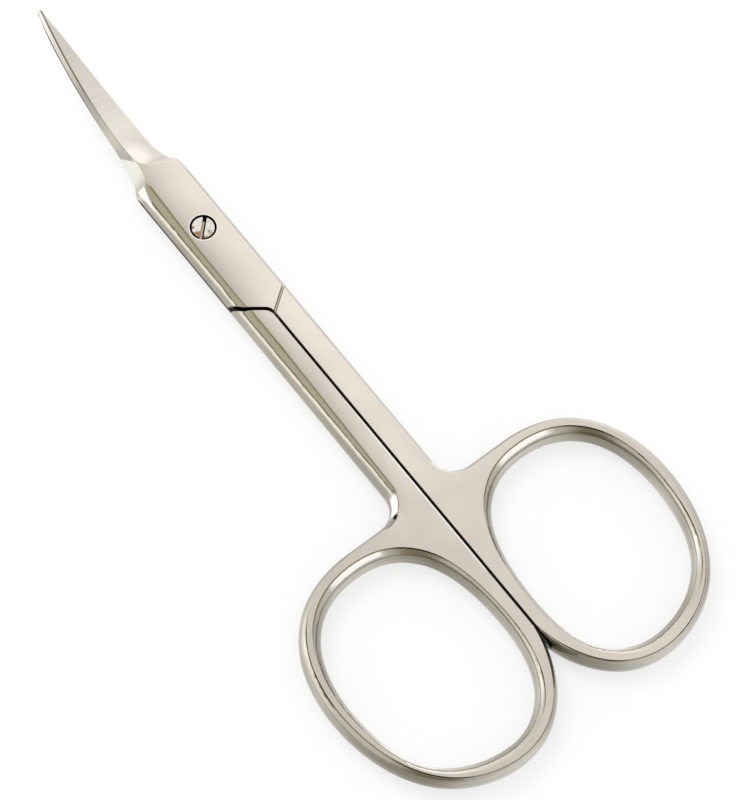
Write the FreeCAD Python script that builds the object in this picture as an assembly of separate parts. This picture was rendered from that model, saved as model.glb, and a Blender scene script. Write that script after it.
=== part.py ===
import FreeCAD, Part
import math
import os

V = FreeCAD.Vector

# Driving sizes in mm. The pivot is the centre while building; +Y points to the tips.
blade_reach = 27.6
handle_reach = 62.4
bow_reach = 21.12
half_thick = 1.6
shank_half_width = 3.05
parting_gap = 0.3
lap_clearance = 0.04

# Rounded flanks: how far the polished side falls back between mid height and the flat face
right_flank_depth = 0.7
left_flank_depth = 1.42
left_crotch_depth = 1.06
crotch_taper_reach = 15.4
left_lap_depth = 1.25
lap_swell = 0.6
lap_swell_reach = 2.4
bow_edge_depth = 0.55
bow_side_extra = 0.35
hole_edge_depth = 0.7
hole_end_extra = 0.4
flank_arc = 65.0
crotch_radius = 2.5

# Finger bows, around the ellipse that their outline follows
bow_half_width = 10.8
bow_half_length = 13.8
hole_half_width = 8.65
hole_half_length = 11.28
hole_lift = 0.1

# Seam of the lap on the shank
seam_reach = 11.15
seam_angle = 36.5
seam_flank_angle = 54.0
seam_bend_reach = 2.1
seam_gap = 0.38
seam_corner_radius = 1.2
groove_width = 0.3
groove_depth = 0.14
groove_offset = 0.55

# Blades
lap_reach = 7.2
blade_rise = 6.0
blade_width = 3.2
scoop_lean = 0.15

# Pivot screw
head_radius = 1.22
head_height = 0.68
head_recess_radius = 1.38
head_recess_depth = 0.76
head_chamfer = 0.08
shank_radius = 0.84
shank_clearance = 0.04
thread_radius = 0.8
thread_chamfer = 0.12
tail_sink = 0.06
slot_width = 0.4
slot_depth = 0.34
slot_angle = 44.0

# How far each ring departs from its ellipse: cosine and sine shares of one to four waves per turn
bow_wave_shares = [(-0.045, 0.015), (0.025, 0.015), (0.01, 0.01), (-0.015, 0)]
hole_wave_shares = [(-0.02, -0.01), (0.005, 0.025), (0.015, 0), (-0.025, 0)]

# Blade outline: share of the blade length, spine side and edge side as shares of the blade width
blade_outline_shares = [
    (0.00, 0.93, 0.87),
    (0.05, 0.78, 0.74),
    (0.10, 0.66, 0.65),
    (0.16, 0.58, 0.56),
    (0.23, 0.54, 0.48),
    (0.34, 0.50, 0.41),
    (0.48, 0.44, 0.36),
    (0.63, 0.37, 0.31),
    (0.77, 0.29, 0.255),
    (0.87, 0.22, 0.195),
    (0.95, 0.13, 0.12),
    (0.98, 0.09, 0.08),
]

# Bevel: share of the blade length, crest and edge across, crest, edge and spine side heights
bevel_shares = [
    (-0.07, -0.45, 0.95, 3.30, 2.04, 0.19),
    (-0.01, -0.42, 0.90, 2.50, 1.31, 0.19),
    (0.04, -0.36, 0.76, 1.78, 0.78, 0.19),
    (0.09, -0.33, 0.65, 1.18, 0.30, 0.19),
    (0.15, -0.33, 0.56, 0.89, 0.09, 0.19),
    (0.23, -0.34, 0.48, 0.69, 0.06, 0.19),
    (0.34, -0.32, 0.41, 0.56, 0.06, 0.19),
    (0.48, -0.28, 0.36, 0.48, 0.06, 0.18),
    (0.63, -0.22, 0.31, 0.42, 0.06, 0.16),
    (0.77, -0.13, 0.26, 0.36, 0.055, 0.14),
    (0.90, -0.04, 0.17, 0.29, 0.05, 0.11),
    (1.03, 0.01, 0.11, 0.20, 0.045, 0.09),
]

# Scooped neck beside the lap: share of the blade length, top and bottom line across
scoop_shares = [
    (0.00, -0.53, -0.93),
    (0.03, -0.44, -0.84),
    (0.065, -0.37, -0.74),
    (0.105, -0.33, -0.655),
    (0.16, -0.32, -0.58),
    (0.20, -0.35, -0.55),
    (0.25, -0.40, -0.56),
]
neck_share = 0.28

flank_levels = 7
outline_points = 14
hole_points = 16

# Sizes that follow from the ones above
thick = 2 * half_thick
blade_length = blade_reach - lap_reach
blade_span = blade_reach + half_thick
rise_radius = (blade_length ** 2 + blade_rise ** 2) / (2 * blade_rise)
half_parting = parting_gap / 2
half_clearance = lap_clearance / 2
pivot_y = (handle_reach - blade_reach) / 2
far = handle_reach
tall = blade_rise + 2 * thick
strip_reach = seam_reach + shank_half_width
neck_reach = lap_reach + blade_length * neck_share


def rise(x, y):
    """Height of the curved riding face above the flat of the lap."""
    beyond = math.hypot(x, y) - lap_reach
    if beyond <= 0:
        return 0
    return rise_radius - math.sqrt(rise_radius ** 2 - beyond ** 2)


def line(start, end):
    return Part.LineSegment(start, end).toShape()


def spline(points):
    curve = Part.BSplineCurve()
    curve.interpolate(points)
    return curve.toShape()


def prism(edges, bottom, top):
    """Upright solid over a closed plan outline."""
    face = Part.Face(Part.Wire(edges))
    face.translate(V(0, 0, bottom))
    return face.extrude(V(0, 0, top - bottom))


def plan_prism(corners, bottom, top):
    points = [V(x, y, 0) for x, y in corners]
    return prism(Part.makePolygon(points + points[:1]).Edges, bottom, top)


def ring_share(shares, turn):
    total = 1
    for order, (cosine, sine) in enumerate(shares, 1):
        total += cosine * math.cos(order * turn) + sine * math.sin(order * turn)
    return total


def ring_point(shares, half_width, half_length, turn):
    share = ring_share(shares, turn)
    return V(half_width * share * math.cos(turn), half_length * share * math.sin(turn), 0)


def inset_point(shares, half_width, half_length, turn, depth):
    """Point of a rounded outline moved inward along its normal."""
    step = 0.01
    before = ring_point(shares, half_width, half_length, turn - step)
    after = ring_point(shares, half_width, half_length, turn + step)
    along = (after - before).normalize()
    return ring_point(shares, half_width, half_length, turn) - V(along.y, -along.x, 0) * depth


turns = [math.radians(degree) for degree in range(-180, 180)]
bow_edge = [ring_point(bow_wave_shares, bow_half_width, bow_half_length, turn) for turn in turns]
bow_centre = V(bow_reach - max(p.x for p in bow_edge), -handle_reach - min(p.y for p in bow_edge), 0)
bow_top_turn = max(zip([p.y for p in bow_edge], turns))[1]


def bow_point(turn, depth):
    return inset_point(bow_wave_shares, bow_half_width, bow_half_length, turn, depth) + bow_centre


def parting_turn(depth):
    """Where the bow's outline leaves the parting plane."""
    low = math.radians(-176)
    high = math.radians(-110)
    for _ in range(40):
        middle = (low + high) / 2
        if bow_point(middle, depth).x < half_parting:
            low = middle
        else:
            high = middle
    return low


def flank_heights(reach):
    """Heights and fall-back shares of the rounded flank, from the underside to the top."""
    levels = []
    full = math.radians(flank_arc)
    for index in range(flank_levels):
        turn = full * reach * (2 * index / (flank_levels - 1) - 1)
        height = half_thick * (1 + math.sin(turn) / math.sin(full))
        levels.append((height, (1 - math.cos(turn)) / (1 - math.cos(full))))
    return levels


def handle_wire(height, share, flank_depth, crotch_depth):
    """Outline of a right-hand shank and bow at one height. The flank may narrow towards the crotch."""
    side = shank_half_width - crotch_depth * share
    radius = crotch_radius + share * (crotch_depth + bow_edge_depth) / 2
    depth = bow_edge_depth * share
    first = parting_turn(depth)
    points = []
    for index in range(outline_points):
        turn = first + (bow_top_turn - first) * index / (outline_points - 1)
        outward = max(0, math.cos(turn)) ** 2
        points.append(bow_point(turn, depth + bow_side_extra * outward * share))
    points[0].x = half_parting
    top = points[-1].y
    crotch_start = V(side + radius, top, 0)
    crotch_end = V(side, top + radius, 0)
    bend = V(side + radius * (1 - math.sqrt(0.5)), top + radius * (1 - math.sqrt(0.5)), 0)
    crotch = Part.Arc(crotch_start, bend, crotch_end).toShape()
    full_side = V(shank_half_width - flank_depth * share, -crotch_taper_reach, 0)
    head = [V(full_side.x, neck_reach, 0), V(half_parting, neck_reach, 0)]
    wire = Part.Wire([line(head[1], points[0]), spline(points), line(points[-1], crotch_start), crotch,
                      line(crotch_end, full_side), line(full_side, head[0]), line(*head)])
    wire.translate(V(0, 0, height))
    return wire


def hole_wire(height, share):
    points = []
    for index in range(hole_points):
        turn = 2 * math.pi * index / hole_points
        depth = hole_edge_depth + hole_end_extra * math.sin(turn) ** 2
        point = inset_point(
            hole_wave_shares, hole_half_width, hole_half_length, turn, -depth * share)
        points.append(point + bow_centre + V(0, hole_lift, height))
    curve = Part.BSplineCurve()
    curve.interpolate(Points=points, PeriodicFlag=True)
    return Part.Wire([curve.toShape()])


def make_handle(flank_depth, crotch_depth):
    """Right-hand shank and finger bow at full thickness."""
    outside = Part.makeLoft([handle_wire(h, s, flank_depth, crotch_depth) for h, s in flank_heights(1)], True)
    hole = Part.makeLoft([hole_wire(h, s) for h, s in flank_heights(1.1)], True)
    return outside.cut(hole)


def make_flank_strip(flank_depth):
    """Left-hand side of the lap, rounded like the shank below it and a little wider to the top."""
    wires = []
    for height, share in flank_heights(1):
        side = -shank_half_width + flank_depth * share
        corners = [(side, -strip_reach), (shank_half_width / 2, -strip_reach),
                   (shank_half_width / 2, neck_reach), (side + lap_swell * share, neck_reach),
                   (side, -lap_swell_reach)]
        points = [V(x, y, height) for x, y in corners]
        wires.append(Part.makePolygon(points + points[:1]))
    return Part.makeLoft(wires, True)


def seam_edges(offset, wall):
    """Plan outline of everything above the seam, from the left side to the wall beside the shank.

    On the left flank the seam turns up, so that from above it looks straight.
    """
    slope = math.tan(math.radians(seam_angle))
    rise_y = offset / math.cos(math.radians(seam_angle)) - seam_reach
    corner = V(wall, rise_y - slope * wall, 0)
    back = V(-math.cos(math.radians(seam_angle)), math.sin(math.radians(seam_angle)), 0)
    reach = seam_corner_radius * math.tan(math.radians((90 - seam_angle) / 2))
    start = corner + back * reach
    end = corner - V(0, reach, 0)
    centre = V(wall - seam_corner_radius, end.y, 0)
    outward = (corner - centre).normalize()
    middle = centre + outward * seam_corner_radius
    angles = [math.radians(seam_angle), math.radians(seam_flank_angle)]
    normals = [V(math.sin(angle), math.cos(angle), 0) for angle in angles]
    bend = V(-seam_bend_reach, slope * seam_bend_reach - seam_reach, 0)
    bend += (normals[0] + normals[1]) * (offset / (1 + normals[0].dot(normals[1])))
    left = bend + V(-math.cos(angles[1]), math.sin(angles[1]), 0) * (2 * shank_half_width)
    right = V(shank_half_width / 3, end.y, 0)
    top_right = V(right.x, far, 0)
    top_left = V(left.x, far, 0)
    return [line(left, bend), line(bend, start), Part.Arc(start, middle, end).toShape(), line(end, right),
            line(right, top_right), line(top_right, top_left), line(top_left, left)]


def station(share):
    return lap_reach + blade_length * share


def blade_point(across, share, height, sign):
    x = blade_width * across
    y = station(share)
    return V(x, y, half_thick + sign * rise(x, y) + half_thick * height)


def blade_outline():
    """Plan outline that keeps the shank and lap whole and trims the blade."""
    spine = [V(-blade_width * s, station(t), 0) for t, s, e in blade_outline_shares]
    edge = [V(blade_width * e, station(t), 0) for t, s, e in reversed(blade_outline_shares)]
    edge.append(V(shank_half_width, lap_reach - half_thick / 2, 0))
    tip = V((spine[-1].x + edge[0].x) / 2, blade_reach, 0)
    corners = [edge[-1], V(far, edge[-1].y, 0), V(far, -far, 0), V(-far, -far, 0),
               V(-far, spine[0].y, 0), spine[0]]
    sides = [line(a, b) for a, b in zip(corners[:-1], corners[1:])]
    return [spline(spine), Part.Arc(spine[-1], tip, edge[0]).toShape(), spline(edge)] + sides


def loft_cutter(sections):
    return Part.makeLoft([Part.makePolygon(points + points[:1]) for points in sections], True)


def stretched(high, low):
    """The ends of a ground face's line, carried on past both of its edges."""
    reach = (high - low) * (blade_width / (high - low).Length)
    return high + reach, low - reach


def bevel_cutter(sign):
    """Everything above the ground bevel between the crest and the cutting edge."""
    sections = []
    for share, crest, edge, crest_height, edge_height, side_height in bevel_shares:
        high = blade_point(crest, share, crest_height, sign)
        low = blade_point(edge, share, edge_height, sign)
        over, under = stretched(high, low)
        sections.append([under, over, V(over.x, over.y, tall * 2), V(under.x, under.y, tall * 2)])
    return loft_cutter(sections)


def side_cutter(sign):
    """Everything outside the narrow facet between the crest and the spine."""
    sections = []
    for share, crest, edge, crest_height, edge_height, side_height in bevel_shares[3:]:
        outline = blade_outline_shares_at(share)
        high = blade_point(crest, share, crest_height, sign)
        low = blade_point(-outline, share, side_height, sign)
        over, under = stretched(high, low)
        sections.append([under, over, V(-far, over.y, over.z), V(-far, under.y, under.z)])
    return loft_cutter(sections)


def blade_outline_shares_at(share):
    """Spine side of the outline at a station, between the rows of its table."""
    rows = blade_outline_shares
    if share >= rows[-1][0]:
        return rows[-1][1]
    for before, after in zip(rows[:-1], rows[1:]):
        if before[0] <= share <= after[0]:
            part = (share - before[0]) / (after[0] - before[0])
            return before[1] + part * (after[1] - before[1])
    return rows[0][1]


def scoop_cutter(sign):
    """Hollow that narrows the lap to the neck of the blade."""
    sections = []
    for share, top, bottom in scoop_shares:
        lean = scoop_lean * max(0, 1 - share / scoop_shares[-2][0])
        low = blade_point(bottom, share, 0, sign)
        high = V(blade_width * top, low.y + lean, thick)
        over, under = stretched(high, low)
        sections.append([under, over, V(-far, over.y, over.z), V(-far, under.y, under.z)])
    return loft_cutter(sections)


def riding_cutter(sign):
    """Everything under the riding face, which is turned about the pivot so it never binds."""
    start = half_thick + half_clearance
    end_radius = blade_span
    middle_radius = (lap_reach + end_radius) / 2
    heights = [start + sign * rise(radius, 0) for radius in (middle_radius, end_radius)]
    bottom = -tall
    arc = Part.Arc(V(lap_reach, 0, start), V(middle_radius, 0, heights[0]), V(end_radius, 0, heights[1]))
    edges = [line(V(0, 0, bottom), V(0, 0, start)), line(V(0, 0, start), V(lap_reach, 0, start)),
             arc.toShape(), line(V(end_radius, 0, heights[1]), V(end_radius, 0, bottom)),
             line(V(end_radius, 0, bottom), V(0, 0, bottom))]
    return Part.Face(Part.Wire(edges)).revolve(V(0, 0, 0), V(0, 0, 1), 180)


def groove_cutter():
    """Fine vee line across the shank's top face, beside the seam."""
    turn = math.radians(seam_angle)
    along = V(math.cos(turn), math.sin(turn), 0)
    across = V(-along.y, along.x, 0) * (groove_width / 2)
    start = V(half_parting / 2, -seam_reach - groove_offset, thick)
    lift = V(0, 0, groove_depth)
    corners = [start - across * 2 + lift, start + across * 2 + lift, start - lift]
    face = Part.Face(Part.makePolygon(corners + corners[:1]))
    return face.extrude(along * (shank_half_width * 2))


def make_half(own_flank_depth, crotch_depth, other_flank_depth, sign):
    """One forging, built as the upper one: sign tells which way its blade curves."""
    seam_above = seam_edges(seam_gap / 2, half_parting)
    lap_side = make_flank_strip(other_flank_depth).common(
        prism(seam_above, half_thick + half_clearance, thick * 2))
    pocket = prism(seam_edges(-seam_gap / 2, -half_parting), -thick, half_thick + half_clearance)
    pocket = pocket.mirror(V(0, 0, 0), V(1, 0, 0))
    body = make_handle(own_flank_depth, crotch_depth).cut(pocket).fuse(lap_side)
    under_box = plan_prism([(-far, lap_reach), (far, lap_reach), (far, far), (-far, far)],
                           -tall, half_thick + lap_clearance)
    tall_box = plan_prism([(-far, neck_reach - half_thick), (far, neck_reach - half_thick), (far, far),
                           (-far, far)], -tall, tall * 1.5)
    trim = prism(blade_outline(), -tall, tall * 1.5)
    body = body.common(trim).fuse(under_box.fuse(tall_box).common(trim))
    for cutter in (bevel_cutter(sign), side_cutter(sign), scoop_cutter(sign), riding_cutter(sign)):
        body = body.cut(cutter)
    return body.cut(groove_cutter()).removeSplitter()


def cylinder(radius, bottom, top):
    return Part.makeCylinder(radius, top - bottom, V(0, 0, bottom))


def cone(bottom_radius, top_radius, bottom, top):
    return Part.makeCone(bottom_radius, top_radius, top - bottom, V(0, 0, bottom))


seat = thick - head_recess_depth
mid_top = half_thick + half_clearance
mid_bottom = half_thick - half_clearance

upper_half = make_half(right_flank_depth, right_flank_depth, left_lap_depth, 1)
upper_half = upper_half.cut(cylinder(head_recess_radius, seat, thick * 2))
upper_half = upper_half.cut(cylinder(shank_radius + shank_clearance, 0, thick))

lower_half = make_half(left_flank_depth, left_crotch_depth, right_flank_depth, -1)
lower_half.rotate(V(0, 0, half_thick), V(0, 1, 0), 180)
lower_half = lower_half.cut(cylinder(thread_radius, -thick, thick))
lower_half = lower_half.cut(cone(thread_radius + thread_chamfer, thread_radius, 0, thread_chamfer))

head_bottom = seat + half_clearance
head_top = head_bottom + head_height
head = cylinder(head_radius, head_bottom, head_top - head_chamfer)
head = head.fuse(cone(head_radius, head_radius - head_chamfer, head_top - head_chamfer, head_top))
slot = Part.makeBox(head_radius * 4, slot_width, thick, V(-head_radius * 2, -slot_width / 2, head_top - slot_depth))
slot.rotate(V(0, 0, 0), V(0, 0, 1), slot_angle)
shank = cylinder(shank_radius, mid_bottom + half_clearance, head_bottom)
thread = cylinder(thread_radius, tail_sink + thread_chamfer, mid_bottom + half_clearance)
tail = cone(thread_radius - thread_chamfer, thread_radius, tail_sink, tail_sink + thread_chamfer)
pivot_screw = head.cut(slot).fuse(shank).fuse(thread).fuse(tail).removeSplitter()

os.makedirs("parts", exist_ok=True)
nodes = {"upper_half": upper_half, "lower_half": lower_half, "pivot_screw": pivot_screw}
for name, shape in nodes.items():
    solid = shape.Solids[0]
    solid.translate(V(0, pivot_y, 0))
    solid.exportStep("parts/" + name + ".step")
    print(name, len(shape.Solids), solid.isValid(), round(solid.Volume, 2))
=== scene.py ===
import math
from types import SimpleNamespace

import bpy
import numpy as np
from mathutils import Matrix, Vector

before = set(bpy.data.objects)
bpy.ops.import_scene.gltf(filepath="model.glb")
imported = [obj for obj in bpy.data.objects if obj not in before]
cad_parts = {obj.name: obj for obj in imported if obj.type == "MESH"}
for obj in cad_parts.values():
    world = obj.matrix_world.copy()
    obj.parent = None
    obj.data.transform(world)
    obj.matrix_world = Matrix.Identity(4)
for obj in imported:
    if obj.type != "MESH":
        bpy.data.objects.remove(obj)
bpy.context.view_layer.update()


# The two halves
# Each is one steel forging, ground flat on its faces, rounded on its flanks and finger ring, and
# nickel plated. The lap of one lies over the shank of the other, and their blades ride back to back.

class Value:
    """A socket in a material. Python's operators on it add Math nodes."""

    def __init__(self, tree, socket=None):
        self.tree = tree
        self.socket = socket

    def add(self, kind, settings=None, inputs=None, output=0):
        """Adds a node of this kind: first its settings, then the values or links of its sockets."""
        node = self.tree.nodes.new("ShaderNode" + kind)
        for name, setting in (settings or {}).items():
            setattr(node, name, setting)
        for name, given in (inputs or {}).items():
            if isinstance(given, Value):
                self.tree.links.new(given.socket, node.inputs[name])
            else:
                node.inputs[name].default_value = given
        return Value(self.tree, node.outputs[output])

    def math(self, operation, *others):
        """A Math node on this value and the others."""
        return self.add("Math", {"operation": operation}, dict(enumerate((self,) + others)))

    def __add__(self, other):
        return self.math("ADD", other)

    def __sub__(self, other):
        return self.math("SUBTRACT", other)

    def __rsub__(self, other):
        return self.math("MULTIPLY_ADD", -1.0, other)

    def __mul__(self, other):
        return self.math("MULTIPLY", other)

    def __abs__(self):
        return self.math("ABSOLUTE")

    __radd__ = __add__
    __rmul__ = __mul__

    def highest(self, *others):
        """The highest of this value and the others."""
        value = self
        for other in others:
            value = value.math("MAXIMUM", other)
        return value

    def rising(self, low, high):
        """0 below low, 1 above high and smooth between."""
        return self.add("MapRange", {"interpolation_type": "SMOOTHSTEP"},
                        {"Value": self, "From Min": low, "From Max": high})

    def falling(self, low, high):
        """1 below low, 0 above high and smooth between."""
        return 1.0 - self.rising(low, high)

    def tint(self, colour, other):
        """This mask's share of the other colour over a colour."""
        return self.add("Mix", {"data_type": "RGBA"}, {"Factor": self, 6: colour, 7: other}, 2)

    def times(self, colour):
        """A colour, plain or worked out, times this value."""
        given = colour if isinstance(colour, Value) else colour[:3]
        return self.add("VectorMath", {"operation": "SCALE"}, {0: given, "Scale": self})

    def noise(self, scale, detail):
        """Cloudy noise at the places of this vector."""
        return self.add("TexNoise", {}, {"Vector": self, "Scale": scale, "Detail": detail})

    def split(self):
        """The three numbers of this vector."""
        first = self.add("SeparateXYZ", {}, {0: self}).socket
        return [Value(self.tree, socket) for socket in first.node.outputs]

    def distance(self, other, place):
        """How far the point of this value and the other lies from a place."""
        gap = self.add("CombineXYZ", {}, {0: self - place[0], 1: other - place[1]})
        return self.add("VectorMath", {"operation": "LENGTH"}, {0: gap}, "Value")


def new_material(name):
    """A material, its node tree and its standard shader."""
    material = bpy.data.materials.new(name)
    material.use_nodes = True
    shader = material.node_tree.nodes["Principled BSDF"]
    return material, material.node_tree, shader


def attach(tree, value, socket):
    """Links a value to a shader's socket."""
    tree.links.new(value.socket, socket)


def surface_values(tree):
    """Where a point lies, in millimetres, and how its surface faces, as values in a material. Nodes
    that take no value are added to start."""
    start = Value(tree)
    place = start.add("TexCoord", output="Object")
    millimetres = start.add("VectorMath", {"operation": "SCALE"}, {0: place, "Scale": 1000.0})
    facing = start.add("TexCoord", output="Normal")
    x, y, z = millimetres.split()
    nx, ny, nz = facing.split()
    return SimpleNamespace(start=start, millimetres=millimetres, facing=facing,
                           x=x, y=y, z=z, nx=nx, ny=ny, nz=nz)


# Places in millimetres and colours that several finishes share
pivot_y = 17.4
mid_height = 1.6
lap_high_y = 24.2
blade_low_y = 26.0
crest_start_y = 31.5
crest_start_x = -1.02
back_start_x = -1.6
ring_high_y = -18.0
ring_centre = (10.4, -31.3)
# Glare for the painted highlights, and black and near-black for the painted shade lines and gaps
glare_colour = (0.97, 0.96, 0.92, 1.0)
black_shade_colour = (0.02, 0.014, 0.008, 1.0)
crest_colour = (0.15, 0.11, 0.055, 1.0)
gap_shade_colour = (0.006, 0.005, 0.004, 1.0)


def half_values(tree, side):
    """The surface values of one half, and the masks of its parts. Across and upward are as on the
    half whose lap is on top, so that both halves share one set of finishes."""
    at = surface_values(tree)
    at.upward = at.nz * side
    at.across = at.x * side
    at.across_facing = at.nx * side
    at.sideways = (1.0 - at.nz * at.nz).highest(0.01).math("SQRT")
    at.flat = abs(at.nz).rising(0.95, 0.99)
    at.steep = abs(at.nz).falling(0.62, 0.72) * at.y.falling(lap_high_y - 0.8, lap_high_y)
    at.cloud = at.millimetres.noise(0.22, 2.0)

    # Positive on the outer flank of a ring and negative on the inner one
    ring_x = abs(at.x) - ring_centre[0]
    outside = ring_x * at.nx * at.x.math("SIGN") + (at.y - ring_centre[1]) * at.ny
    at.inner_flank = outside.falling(-1.0, 0.0)
    at.outer_flank = outside.rising(0.0, 1.0)
    at.on_ring = at.y.falling(ring_high_y, ring_high_y + 4.0)

    # The blade's ground bevel and the facet on its spine side. The crest between the two curves with
    # the square of the way along the blade, and the blade's back with its cube.
    at.blade = at.y.rising(blade_low_y, blade_low_y + 1.0)
    at.bevel = at.across_facing.rising(0.02, 0.08) * at.upward.rising(0.2, 0.4) * at.blade
    at.spine = at.across_facing.falling(-0.3, -0.12) * at.upward.rising(0.1, 0.3) * at.blade
    along = at.y - crest_start_y
    at.crest_x = along * 0.02 + along * along * 0.005 + crest_start_x
    at.back_x = along * 0.062 + along * along * along * 0.00019 + back_start_x
    return at


def facing_turn(at, turn):
    """1 where a flank faces this turn, seen from above, and -1 where it faces away from it."""
    towards = at.nx * math.cos(turn) + at.ny * math.sin(turn)
    return towards.math("DIVIDE", at.sideways)


# The flats
plate_colour = (0.72, 0.655, 0.585, 1.0)
shank_middle_x = 0.3


def flat_colour(at):
    """The flats are painted with shading, as if very slightly crowned, so they brighten towards the right,
    and they are a little cloudy.
    """
    up_shank = at.y.rising(-22.0, 2.0)
    above_bows = at.y.rising(-30.0, -10.0)
    # Painted shading: brighter to the right, above the bows, along the shank's middle and on the right bow,
    # darker on the left bow
    crown_shading = at.x * up_shank * 0.105 + above_bows * 0.1 - 0.12
    from_middle = at.x - shank_middle_x
    middle = 1.0 - from_middle * from_middle * 0.42
    within_shank = abs(at.x).falling(3.0, 3.2) * at.y.rising(-20.0, -14.0)
    crown_shading = crown_shading + middle * within_shank * 0.075
    right_bow = at.x.rising(-3.0, 1.0) * at.x.falling(9.0, 15.0)
    left_bow = at.x.falling(-9.0, -4.0)
    crown_shading = crown_shading + (right_bow * 0.05 - left_bow * 0.06) * at.y.falling(-20.0, -12.0)
    return (at.flat * (crown_shading + at.cloud * 0.22 - 0.11) + 1.0).times(plate_colour)


# The polished flanks, with their reflection painted into the colour
lobe_turn = math.radians(29.0)
low_turn = math.radians(135.0)
flank_light_reflection_colour = (0.74, 0.71, 0.64, 1.0)
flank_dark_reflection_colour = (0.22, 0.20, 0.15, 1.0)


def flank_painted_reflection(at, colour):
    """Painted reflection: low on the flanks the colour stands in for the polish mirroring the table, bright
    in three turns and dark between, with painted glare where it is brightest. The lobes are the cosine of
    three times the turn."""
    towards = facing_turn(at, lobe_turn)
    lobes = towards * towards * towards * 4.0 - towards * 3.0
    patches = at.millimetres.noise(0.16, 1.0)
    bands = at.start.add("CombineXYZ", {}, {0: at.nz * 7.0, 1: at.x * 0.08, 2: at.y * 0.08}).noise(1.0, 1.0)
    share = lobes * 0.32 + (at.nx * 0.5 + at.ny * 0.87) * 0.2 + (bands + patches) * 0.4 + 0.08
    low_side = facing_turn(at, low_turn).rising(0.75, 0.95)
    low_on_ring = at.on_ring * at.nz.falling(0.35, 0.65)
    share = share + low_on_ring * (0.06 - low_side * 0.4)
    flank = share.tint(flank_dark_reflection_colour, flank_light_reflection_colour)
    glare = share.rising(0.72, 0.92) * (1.0 - at.on_ring * at.outer_flank * 0.5)
    flank = (glare * at.nz.rising(0.15, 0.4)).tint(flank, glare_colour)
    return at.steep.highest((1.0 - at.flat) * at.on_ring * 0.6).tint(colour, flank)


# The glints, painted highlights
lit_turn = math.radians(267.0)


def glints(at):
    """Painted highlights: bright spots low in the crotch, at the lap's upper end, high inside each ring and
    at the tip.
    """
    crotch = at.y.falling(-16.9, -16.3) * at.y.rising(-18.4, -18.1)
    crotch = crotch * at.x.falling(-2.2, -1.9) * at.nz.rising(0.35, 0.5)
    lap_end = (at.nz - at.y * 0.06).falling(-0.6, -0.56) * at.nz.rising(0.62, 0.68)
    lap_end = lap_end * at.y.rising(21.5, 23.0) * at.y.falling(24.9, 25.1)
    lap_end = lap_end * at.across_facing.falling(-0.35, -0.25)
    lit_side = facing_turn(at, lit_turn).rising(0.92, 0.98)
    ring = at.on_ring * at.inner_flank * lit_side * at.nz.rising(0.66, 0.74) * at.nz.falling(0.86, 0.9)
    tip = (at.across - at.crest_x).falling(-0.12, -0.04) * at.upward.rising(0.1, 0.3)
    tip = tip * at.y.rising(41.0, 44.0)
    return crotch.highest(lap_end, ring, tip) * (1.0 - at.flat)


# The crotch of the left shank, where its flank bends into the bow
bend_centre = (-4.98, -16.28)
bend_radius = 2.66
crotch_spot = (-3.80, -18.50)
bend_reflection_colour = (0.36, 0.355, 0.31, 1.0)


def crotch_bend(at, colour, bright):
    """Painted reflection and shade: a grey flank with the painted glints over it, then a black corner and a
    brown line beside the flat.
    """
    near = at.y.falling(-13.0, -9.0) * at.y.rising(-20.0, -18.5)
    near = near * at.x.falling(-2.2, -1.8) * at.x.rising(-8.0, -5.0)
    colour = (near * at.nz.falling(0.6, 0.75) * 0.8).tint(colour, bend_reflection_colour)
    colour = bright.tint(colour, glare_colour)
    from_bend = at.x.distance(at.y, bend_centre)
    from_spot = at.x.distance(at.y, crotch_spot)
    in_bend = from_bend.falling(bend_radius - 0.04, bend_radius + 0.04) * at.nz.rising(0.6, 0.7)
    below_glint = at.y.falling(-18.3, -18.15)
    colour = (in_bend * below_glint * at.x.rising(-7.0, -5.6)).tint(colour, bend_reflection_colour)
    corner = from_spot.falling(0.2, 0.38) * in_bend * at.y.falling(-18.3, -18.2)
    colour = corner.tint(colour, black_shade_colour)
    line = abs(from_bend - bend_radius).falling(0.02, 0.08) * at.y.falling(-18.7, -18.6)
    line = line * at.x.rising(-5.8, -4.8) * at.flat * at.nz.rising(0.6, 0.7)
    return (line * 0.8).tint(colour, crest_colour)


# The painted shade line where the flanks begin
shaded_turn = math.radians(225.0)
shaded_side = (math.cos(shaded_turn), math.sin(shaded_turn), 0.0)
black_turn = math.radians(221.0)
ring_shade_line_colour = (0.26, 0.18, 0.10, 1.0)
shank_shade_line_colour = (0.50, 0.42, 0.27, 1.0)


def flank_line(at, colour):
    """Painted shade: a dark line runs beside the flats where the flanks begin, on the edges that face the
    shaded side, darkest and broken on the rings.
    """
    shade = at.start.add("VectorMath", {"operation": "DOT_PRODUCT"}, {0: at.facing, 1: shaded_side}, "Value")
    beside_flat = abs(at.z - mid_height).rising(1.5, 1.55) * abs(at.nz).falling(0.97, 0.99)
    beside_flat = beside_flat * shade.rising(-0.15, 0.05) * at.y.falling(lap_high_y, lap_high_y + 0.2)
    broken = at.millimetres.noise(0.3, 1.0)
    black = (facing_turn(at, black_turn).rising(0.93, 0.98) + broken.rising(0.58, 0.66)).math("MINIMUM", 1.0)
    ring_line = black.tint(ring_shade_line_colour, black_shade_colour)
    colour = (beside_flat * at.on_ring * broken.rising(0.2, 0.4)).tint(colour, ring_line)
    return (beside_flat * (1.0 - at.on_ring)).tint(colour, shank_shade_line_colour)


# The ground blade
highlight_x = -0.5
highlight_y = 27.8
bevel_colour = (0.71, 0.665, 0.605, 1.0)
spine_shade_colour = (0.54, 0.51, 0.465, 1.0)
spine_low_shade_colour = (0.40, 0.385, 0.34, 1.0)
spine_tip_highlight_colour = (0.96, 0.93, 0.87, 1.0)
crest_radius = 0.00016


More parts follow.
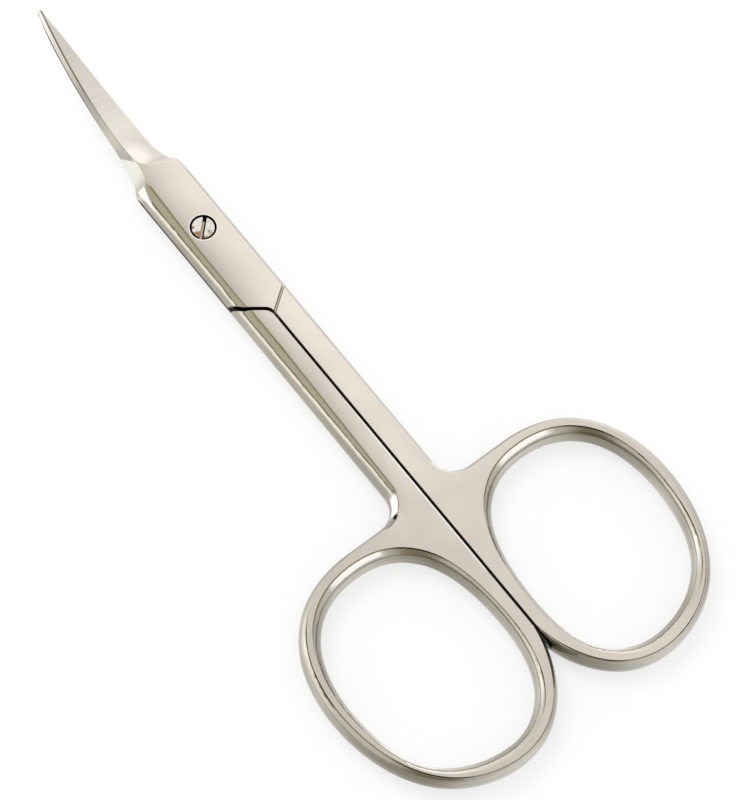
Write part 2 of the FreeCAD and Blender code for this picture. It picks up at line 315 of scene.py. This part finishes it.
def blade_facets(at, colour):
    """A satin bevel with painted shade round the bright place at its root, and a grey facet, painted darker
    as shade and darker still near its root, that ends in a painted white highlight towards the tip.
    """
    from_highlight = at.across.distance((at.y - highlight_y) * 0.7, (highlight_x, 0.0))
    highlight_shading = from_highlight.rising(0.5, 1.9) * at.y.falling(28.5, 32.5) * 0.22
    colour = at.bevel.tint(colour, (1.0 - highlight_shading).times(bevel_colour))
    spine_shade = at.y.rising(36.0, 44.5).tint(spine_shade_colour, spine_tip_highlight_colour)
    spine_shade = (at.y.falling(29.0, 31.0) * 0.6).tint(spine_shade, spine_low_shade_colour)
    return (at.spine * at.y.rising(27.5, 28.0)).tint(colour, spine_shade)


def crest_line(at, colour):
    """A brown line between the two facets, stronger towards the tip."""
    own = at.start.add("NewGeometry", output="Normal")
    rounded = at.start.add("Bevel", {"samples": 6}, {"Radius": crest_radius})
    agreement = at.start.add("VectorMath", {"operation": "DOT_PRODUCT"}, {0: rounded, 1: own}, "Value")
    near_edge = (1.0 - agreement).rising(0.0004, 0.002)
    crest = near_edge * at.upward.rising(0.45, 0.6) * at.blade * (at.across + at.y * 0.055).falling(2.2, 2.4)
    line = abs(at.across - at.crest_x - 0.04).falling(0.05, 0.11)
    line = line * at.upward.rising(0.1, 0.3) * at.y.rising(31.0, 38.0)
    return (crest * 0.3).highest(line * 0.9).tint(colour, crest_colour)


# The blade's back edge and its neck on the lap
back_shade_colour = (0.05, 0.045, 0.03, 1.0)
neck_reflection_colour = (0.86, 0.85, 0.77, 1.0)
neck_low_reflection_colour = (0.50, 0.50, 0.41, 1.0)


def back_edge(at):
    """Painted shade: the dark line along the upper blade's back, which comes in towards the tip."""
    edge = (at.across - at.back_x).falling(0.03, 0.09).highest(at.across_facing.falling(-0.8, -0.6))
    return edge * at.y.rising(31.0, 38.0) * at.x.falling(-0.2, -0.1) * 0.9


def neck_painted_reflection(at, colour, bright):
    """Painted reflection: the hollow between lap and blade is painted a greenish white, darker low down,
    where the polish mirrors the room.
    """
    neck = at.across_facing.falling(-0.6, -0.5) * at.upward.rising(0.3, 0.4)
    neck = neck * at.y.rising(24.3, 24.5) * (at.y + at.across * 2.6).falling(24.4, 24.6)
    greenish = (at.y.rising(24.6, 26.4) * 0.8 + at.cloud * 0.6 - 0.15).tint(neck_low_reflection_colour, neck_reflection_colour)
    return (neck * (1.0 - bright)).tint(colour, greenish)


# The fine line cut across the shank beside the seam
groove_start = (0.05, 5.7)
groove_turn = math.radians(36.5)
groove_shade_colour = (0.30, 0.24, 0.19, 1.0)


def groove_line(at, colour):
    """Painted shade: brown in the cut, at a small distance from the line that its turn and start give."""
    beside = (at.y - groove_start[1]) * math.cos(groove_turn)
    off_groove = abs((at.across - groove_start[0]) * -math.sin(groove_turn) + beside)
    groove = off_groove.rising(0.07, 0.10) * off_groove.falling(0.14, 0.18) * at.upward.rising(0.4, 0.6)
    return (groove * at.across.rising(0.1, 0.2) * at.y.falling(10.5, 11.0)).tint(colour, groove_shade_colour)


# Painted highlights on the edges, and painted shade in the gaps
screw_seat_radius = 1.38
half_lap_width = 2.85
parting_width = 0.2
seam_low_y = 4.0
seam_high_y = 20.0
lap_low_y = 9.3
screw_seat_height = 2.9
gap_reach = 0.0006


def edge_painted_highlights(at, colour):
    """Painted highlights: the edges beside the parting line and round the screw's seat catch the light."""
    from_seat = at.x.distance(at.y, (0.0, pivot_y)) - screw_seat_radius
    seat_rim = from_seat.rising(-0.02, 0.0) * from_seat.falling(0.08, 0.16)
    parting_rim = at.x.rising(-0.32, -0.27) * at.x.falling(-0.1, 0.0)
    parting_rim = parting_rim * at.y.falling(-10.0, -5.0) * at.y.rising(-28.5, -27.5)
    return (at.flat * seat_rim.highest(parting_rim) * 0.7).tint(colour, glare_colour)


def gap_painted_shade(at, colour):
    """Painted shade: the seam and the parting line are black where the other half stands close, and the
    screw's seat and the joint at mid height always. The seat's black has no lower end, so that it also shows
    on the underside, round the screw's tail."""
    openness = at.start.add("AmbientOcclusion", {"samples": 8}, {"Distance": gap_reach}, "AO")
    wall = abs(at.nz).falling(0.3, 0.6) * openness.falling(0.65, 0.9)
    within_lap = abs(at.x).falling(half_lap_width, half_lap_width + 0.1)
    seam = wall * within_lap.highest(abs(at.ny).rising(0.3, 0.5))
    seam = seam * at.y.rising(seam_low_y, seam_low_y + 0.5) * at.y.falling(seam_high_y, seam_high_y + 0.5)
    parting = wall * abs(at.x).falling(parting_width, parting_width + 0.06)
    joint = abs(at.z - mid_height).falling(0.26, 0.34) * abs(at.x).rising(2.5, 2.7)
    joint = joint * at.y.rising(lap_low_y, lap_low_y + 0.2) * at.y.falling(lap_high_y, lap_high_y + 0.2)
    from_seat = at.x.distance(at.y, (0.0, pivot_y)) - screw_seat_radius
    seat = from_seat.falling(0.0, 0.03) * at.z.falling(screw_seat_height, screw_seat_height + 0.2)
    return seam.highest(parting, joint, seat).tint(colour, gap_shade_colour)


# Grinding marks, which run across the blade, and the polish
marks_stretch = (0.3, 3.4, 0.0)
edge_radius = 0.00006
relief_depth = 0.00002


def ground_steel(at, colour, marks):
    """Fine light and dark streaks in the middle of the blade's bevel."""
    mark_band = at.bevel * at.y.rising(31.0, 34.0) * at.y.falling(39.0, 42.0)
    return (mark_band * (marks - 0.5) * 0.2 + 1.0).times(colour)


def surface_relief(at, marks):
    """Grinding marks on the bevel and slight waves in the flanks' polish, on softly rounded edges."""
    waves = at.millimetres.noise(0.5, 1.0) * at.steep * 0.5
    edge = at.start.add("Bevel", {"samples": 6}, {"Radius": edge_radius})
    return at.start.add("Bump", {}, {"Height": marks * at.bevel * 0.4 + waves, "Normal": edge,
                                     "Strength": 0.5, "Distance": relief_depth})


def satin_finish(at):
    """The roughness: flats, ground facets and the inside of the rings are less polished."""
    ring_inside = at.inner_flank * at.on_ring * (1.0 - at.flat)
    return at.flat * 0.1 + at.bevel * 0.22 + at.spine * 0.2 + ring_inside * 0.12 + 0.05


def mirror_share(at, bright, outline):
    """The glints and the shaded outside of the right ring mirror the room less than the rest."""
    soft_side = facing_turn(at, black_turn).rising(0.75, 0.9) * at.outer_flank * at.on_ring
    soft_side = soft_side * at.x.rising(0.5, 1.0) * (1.0 - at.flat)
    return 1.0 - bright * (1.0 - outline) * 0.8 - soft_side * 0.4


def plate_material(name, side):
    """Nickel plate of one half. Side is 1 for the half whose lap is on top and -1 for the other."""
    material, tree, shader = new_material(name)
    at = half_values(tree, side)
    # bright holds the painted highlights, and outline the painted shade along the blade's back
    bright = glints(at)
    outline = back_edge(at)
    streak = at.start.add("VectorMath", {"operation": "MULTIPLY"}, {0: at.millimetres, 1: marks_stretch})
    marks = streak.noise(1.0, 3.0)
    # The plate's colour, then painted reflection, painted shade and painted highlights laid over it one
    # after the other
    colour = flank_painted_reflection(at, flat_colour(at))
    colour = crotch_bend(at, colour, bright)
    colour = flank_line(at, colour)
    colour = crest_line(at, blade_facets(at, colour))
    colour = neck_painted_reflection(at, outline.tint(colour, back_shade_colour), bright)
    colour = groove_line(at, colour)
    colour = gap_painted_shade(at, edge_painted_highlights(at, colour))
    attach(tree, ground_steel(at, colour, marks), shader.inputs["Base Color"])
    attach(tree, satin_finish(at), shader.inputs["Roughness"])
    attach(tree, surface_relief(at, marks), shader.inputs["Normal"])
    attach(tree, mirror_share(at, bright, outline), shader.inputs["Metallic"])
    return material


def dress(node_name, material):
    """Gives one of the solids its material."""
    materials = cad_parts[node_name].data.materials
    materials.clear()
    materials.append(material)


for half_name, side in (("upper_half", 1.0), ("lower_half", -1.0)):
    dress(half_name, plate_material(half_name + "_plate", side))


# The pivot screw
# A turned and slotted steel screw, nickel plated and polished, sunk just below the top face.

slot_floor_height = 2.8
slot_turn = math.radians(44.0)
screw_colour = (0.86, 0.82, 0.77, 1.0)
screw_beige_colour = (0.66, 0.60, 0.53, 1.0)
tarnish_colour = (0.36, 0.24, 0.13, 1.0)
slot_floor_colour = (0.50, 0.38, 0.29, 1.0)
screw_edge_radius = 0.00005
screw_roughness = 0.12


def screw_plate():
    """Bright plate with beige clouds and a brown stain, a slot with a brown floor and a painted shadow strip
    along one side and at its far end, and walls painted dark as shade.
    """
    material, tree, shader = new_material("screw_plate")
    at = surface_values(tree)
    up = at.y - pivot_y
    beside_slot = up * math.cos(slot_turn) - at.x * math.sin(slot_turn)
    along_slot = up * math.sin(slot_turn) + at.x * math.cos(slot_turn)
    from_centre = at.x.distance(at.y, (0.0, pivot_y))
    stain = at.millimetres.noise(1.6, 4.0)
    colour = (stain.rising(0.35, 0.65) * 0.5).tint(screw_colour, screw_beige_colour)
    tarnish = (stain + from_centre * 0.2 - along_slot * 0.2).rising(0.76, 0.88)
    colour = tarnish.tint(colour, tarnish_colour)
    # Painted shadow: black along one side of the slot's floor and at its far end
    slot_shade = beside_slot.falling(-0.06, 0.0).highest(along_slot.rising(0.7, 0.85))
    slot_floor = slot_shade.tint(slot_floor_colour, gap_shade_colour)
    in_slot = at.z.falling(slot_floor_height + 0.05, slot_floor_height + 0.12)
    colour = in_slot.tint(colour, slot_floor)
    walls = abs(at.nz).falling(0.3, 0.6)
    attach(tree, walls.tint(colour, gap_shade_colour), shader.inputs["Base Color"])
    edge = at.start.add("Bevel", {"samples": 4}, {"Radius": screw_edge_radius})
    attach(tree, edge, shader.inputs["Normal"])
    shader.inputs["Metallic"].default_value = 1.0
    shader.inputs["Roughness"].default_value = screw_roughness
    return material


dress("pivot_screw", screw_plate())


# The floor
# A wide white studio sweep under the scissors, which keeps their soft shadow. It shows from above
# only, so that the scissors can be seen from below too.

floor_width = 3.0
floor_height = -0.00001
paper_colour = (0.265, 0.265, 0.265, 1.0)
paper_lift = 0.693


def bare_material(name):
    """An empty material, its node tree and the socket that its surface goes to."""
    material = bpy.data.materials.new(name)
    material.use_nodes = True
    material.node_tree.nodes.clear()
    output = material.node_tree.nodes.new("ShaderNodeOutputMaterial")
    return material, material.node_tree, output.inputs["Surface"]


def floor_paper():
    """Matt paper, lifted to the photo's pale ground where it is seen or mirrored. Clear from below."""
    material, tree, surface = bare_material("white_floor")
    start = Value(tree)
    mirrored = start.add("LightPath", output="Is Glossy Ray")
    through = start.add("LightPath", output="Is Transmission Ray")
    seen = start.add("LightPath", output="Is Camera Ray").highest(mirrored, through)
    paper = start.add("BsdfDiffuse", {}, {"Color": paper_colour})
    lift = start.add("Emission", {}, {"Color": (1.0, 1.0, 1.0, 1.0), "Strength": seen * paper_lift})
    lifted = start.add("AddShader", {}, {0: paper, 1: lift})
    from_below = start.add("NewGeometry", output="Backfacing")
    clear = start.add("BsdfTransparent")
    attach(tree, start.add("MixShader", {}, {0: from_below, 1: lifted, 2: clear}), surface)
    return material


def stage_object(name, mesh, material):
    """An object of the studio, which is no piece of the scissors."""
    mesh.materials.append(material)
    thing = bpy.data.objects.new(name, mesh)
    bpy.context.scene.collection.objects.link(thing)
    return thing


reach = floor_width / 2
floor_mesh = bpy.data.meshes.new("floor")
floor_mesh.from_pydata([(-reach, -reach, floor_height), (reach, -reach, floor_height),
                        (reach, reach, floor_height), (-reach, reach, floor_height)], [], [(0, 1, 2, 3)])
stage_object("floor", floor_mesh, floor_paper())


# Studio light
# An even white room and one soft lamp from the tips' side. Round the scissors stand bright and dark
# cards that only the polished steel mirrors: each covers a range of directions.

room_radius = 0.8
room_step = 1.5
lamp_energy = 0.9
lamp_size = 0.25
lamp_place = Vector((-0.05, 0.28, 0.45))

# Each panel: its azimuths and their soft width, its elevations and theirs, all in degrees, and its light
room_panels = [((70, 172), 20, (62, 90), 10, (0.78, 0.77, 0.72)),
               ((28, 75), 26, (-5, 50), 12, (1.42, 1.42, 1.42)),
               ((250, 344), 8, (-5, 45), 25, (0.82, 0.82, 0.80)),
               ((210, 232), 24, (50, 62), 6, (0.10, 0.08, 0.05)),
               ((216, 232), 24, (-5, 46), 8, (0.36, 0.32, 0.23)),
               ((136, 164), 6, (36, 55), 4, (0.55, 0.56, 0.46)),
               ((136, 164), 6, (57, 64), 2, (0.33, 0.30, 0.20)),
               ((136, 164), 6, (26, 32), 3, (0.28, 0.27, 0.18)),
               ((136, 164), 12, (-5, 19), 4, (1.25, 1.24, 1.18))]


def soft_range(values, low, high, soft):
    """1 between low and high, falling smoothly to 0 over the soft width outside them."""
    inside = np.minimum(values - low, high - values) / soft + 1.0
    share = np.clip(inside, 0.0, 1.0)
    return share * share * (3.0 - 2.0 * share)


def room_light(azimuth, elevation):
    """The light from each direction: white, with the panels laid over it one after the other."""
    light = np.ones((elevation.size, azimuth.size, 3))
    for (first, last), side_soft, (low, high), height_soft, panel_light in room_panels:
        middle = (first + last) / 2
        around = (azimuth - middle + 180.0) % 360.0 - 180.0
        cover = soft_range(around, first - middle, last - middle, side_soft)
        cover = cover * soft_range(elevation, low, high, height_soft)
        light += cover[..., None] * (np.array(panel_light) - light)
    return light


def room_mesh():
    """A half sphere on a grid of azimuth and elevation, with each direction's light on its points."""
    azimuth = np.arange(0.0, 361.0, room_step)[None, :]
    elevation = np.arange(0.0, 90.0, room_step)[:, None]
    turns = np.radians(azimuth)
    lifts = np.radians(elevation)
    dome = np.stack([np.cos(lifts) * np.cos(turns), np.cos(lifts) * np.sin(turns),
                     np.sin(lifts) * np.ones_like(turns)], axis=-1) * room_radius
    rows, columns = dome.shape[:2]
    index = np.arange(rows * columns).reshape(rows, columns)
    quads = np.stack([index[:-1, :-1], index[:-1, 1:], index[1:, 1:], index[1:, :-1]], axis=-1)
    mesh = bpy.data.meshes.new("room")
    mesh.from_pydata(dome.reshape(-1, 3).tolist(), [], quads.reshape(-1, 4).tolist())
    light = room_light(azimuth, elevation)
    stored = mesh.color_attributes.new("light", "FLOAT_COLOR", "POINT")
    stored.data.foreach_set("color", np.concatenate([light, np.ones_like(light[..., :1])], axis=-1).ravel())
    return mesh


def room_glow():
    """A material that shines with the light stored on the room's points."""
    material, tree, surface = bare_material("room_light")
    start = Value(tree)
    stored = start.add("VertexColor", {"layer_name": "light"})
    attach(tree, start.add("Emission", {}, {"Color": stored, "Strength": 1.0}), surface)
    return material


world = bpy.data.worlds.new("room")
bpy.context.scene.world = world
world.use_nodes = True
world.node_tree.nodes["Background"].inputs["Color"].default_value = (1.0, 1.0, 1.0, 1.0)
world.node_tree.nodes["Background"].inputs["Strength"].default_value = 1.0

room = stage_object("room", room_mesh(), room_glow())
for ray_kind in ("camera", "diffuse", "shadow", "transmission"):
    setattr(room, "visible_" + ray_kind, False)

lamp_data = bpy.data.lights.new("lamp", "AREA")
lamp_data.energy = lamp_energy
lamp_data.size = lamp_size
lamp = bpy.data.objects.new("lamp", lamp_data)
bpy.context.scene.collection.objects.link(lamp)
lamp.location = lamp_place
lamp.rotation_euler = (-lamp_place).to_track_quat("-Z", "Y").to_euler()
lamp.visible_glossy = False


# The camera
# It stands at the lower left of the lying scissors, 22 degrees from straight above.

camera_azimuth = math.radians(224.01)
camera_elevation = math.radians(67.79)
camera_roll = math.radians(-39.902)
camera_distance = 0.2987
camera_target = Vector((0.003094, -0.006770, 0.0))
focal_pixels = 2998.7
picture_height = 800
sensor_size = 36.0

outward = Vector((math.cos(camera_elevation) * math.cos(camera_azimuth),
                  math.cos(camera_elevation) * math.sin(camera_azimuth), math.sin(camera_elevation)))
level_up = (Vector((0.0, 1.0, 0.0)) - outward * outward.y).normalized()
level_right = level_up.cross(outward)
right = level_right * math.cos(camera_roll) + level_up * math.sin(camera_roll)
up = level_up * math.cos(camera_roll) - level_right * math.sin(camera_roll)
camera_data = bpy.data.cameras.new("camera")
camera_data.lens = focal_pixels / picture_height * sensor_size
camera_data.sensor_width = sensor_size
camera_data.clip_start = 0.01
camera = bpy.data.objects.new("camera", camera_data)
bpy.context.scene.collection.objects.link(camera)
turn = Matrix((right, up, outward)).transposed()
camera.matrix_world = Matrix.Translation(camera_target + outward * camera_distance) @ turn.to_4x4()
bpy.context.scene.camera = camera
bpy.context.scene.view_settings.view_transform = "Standard"
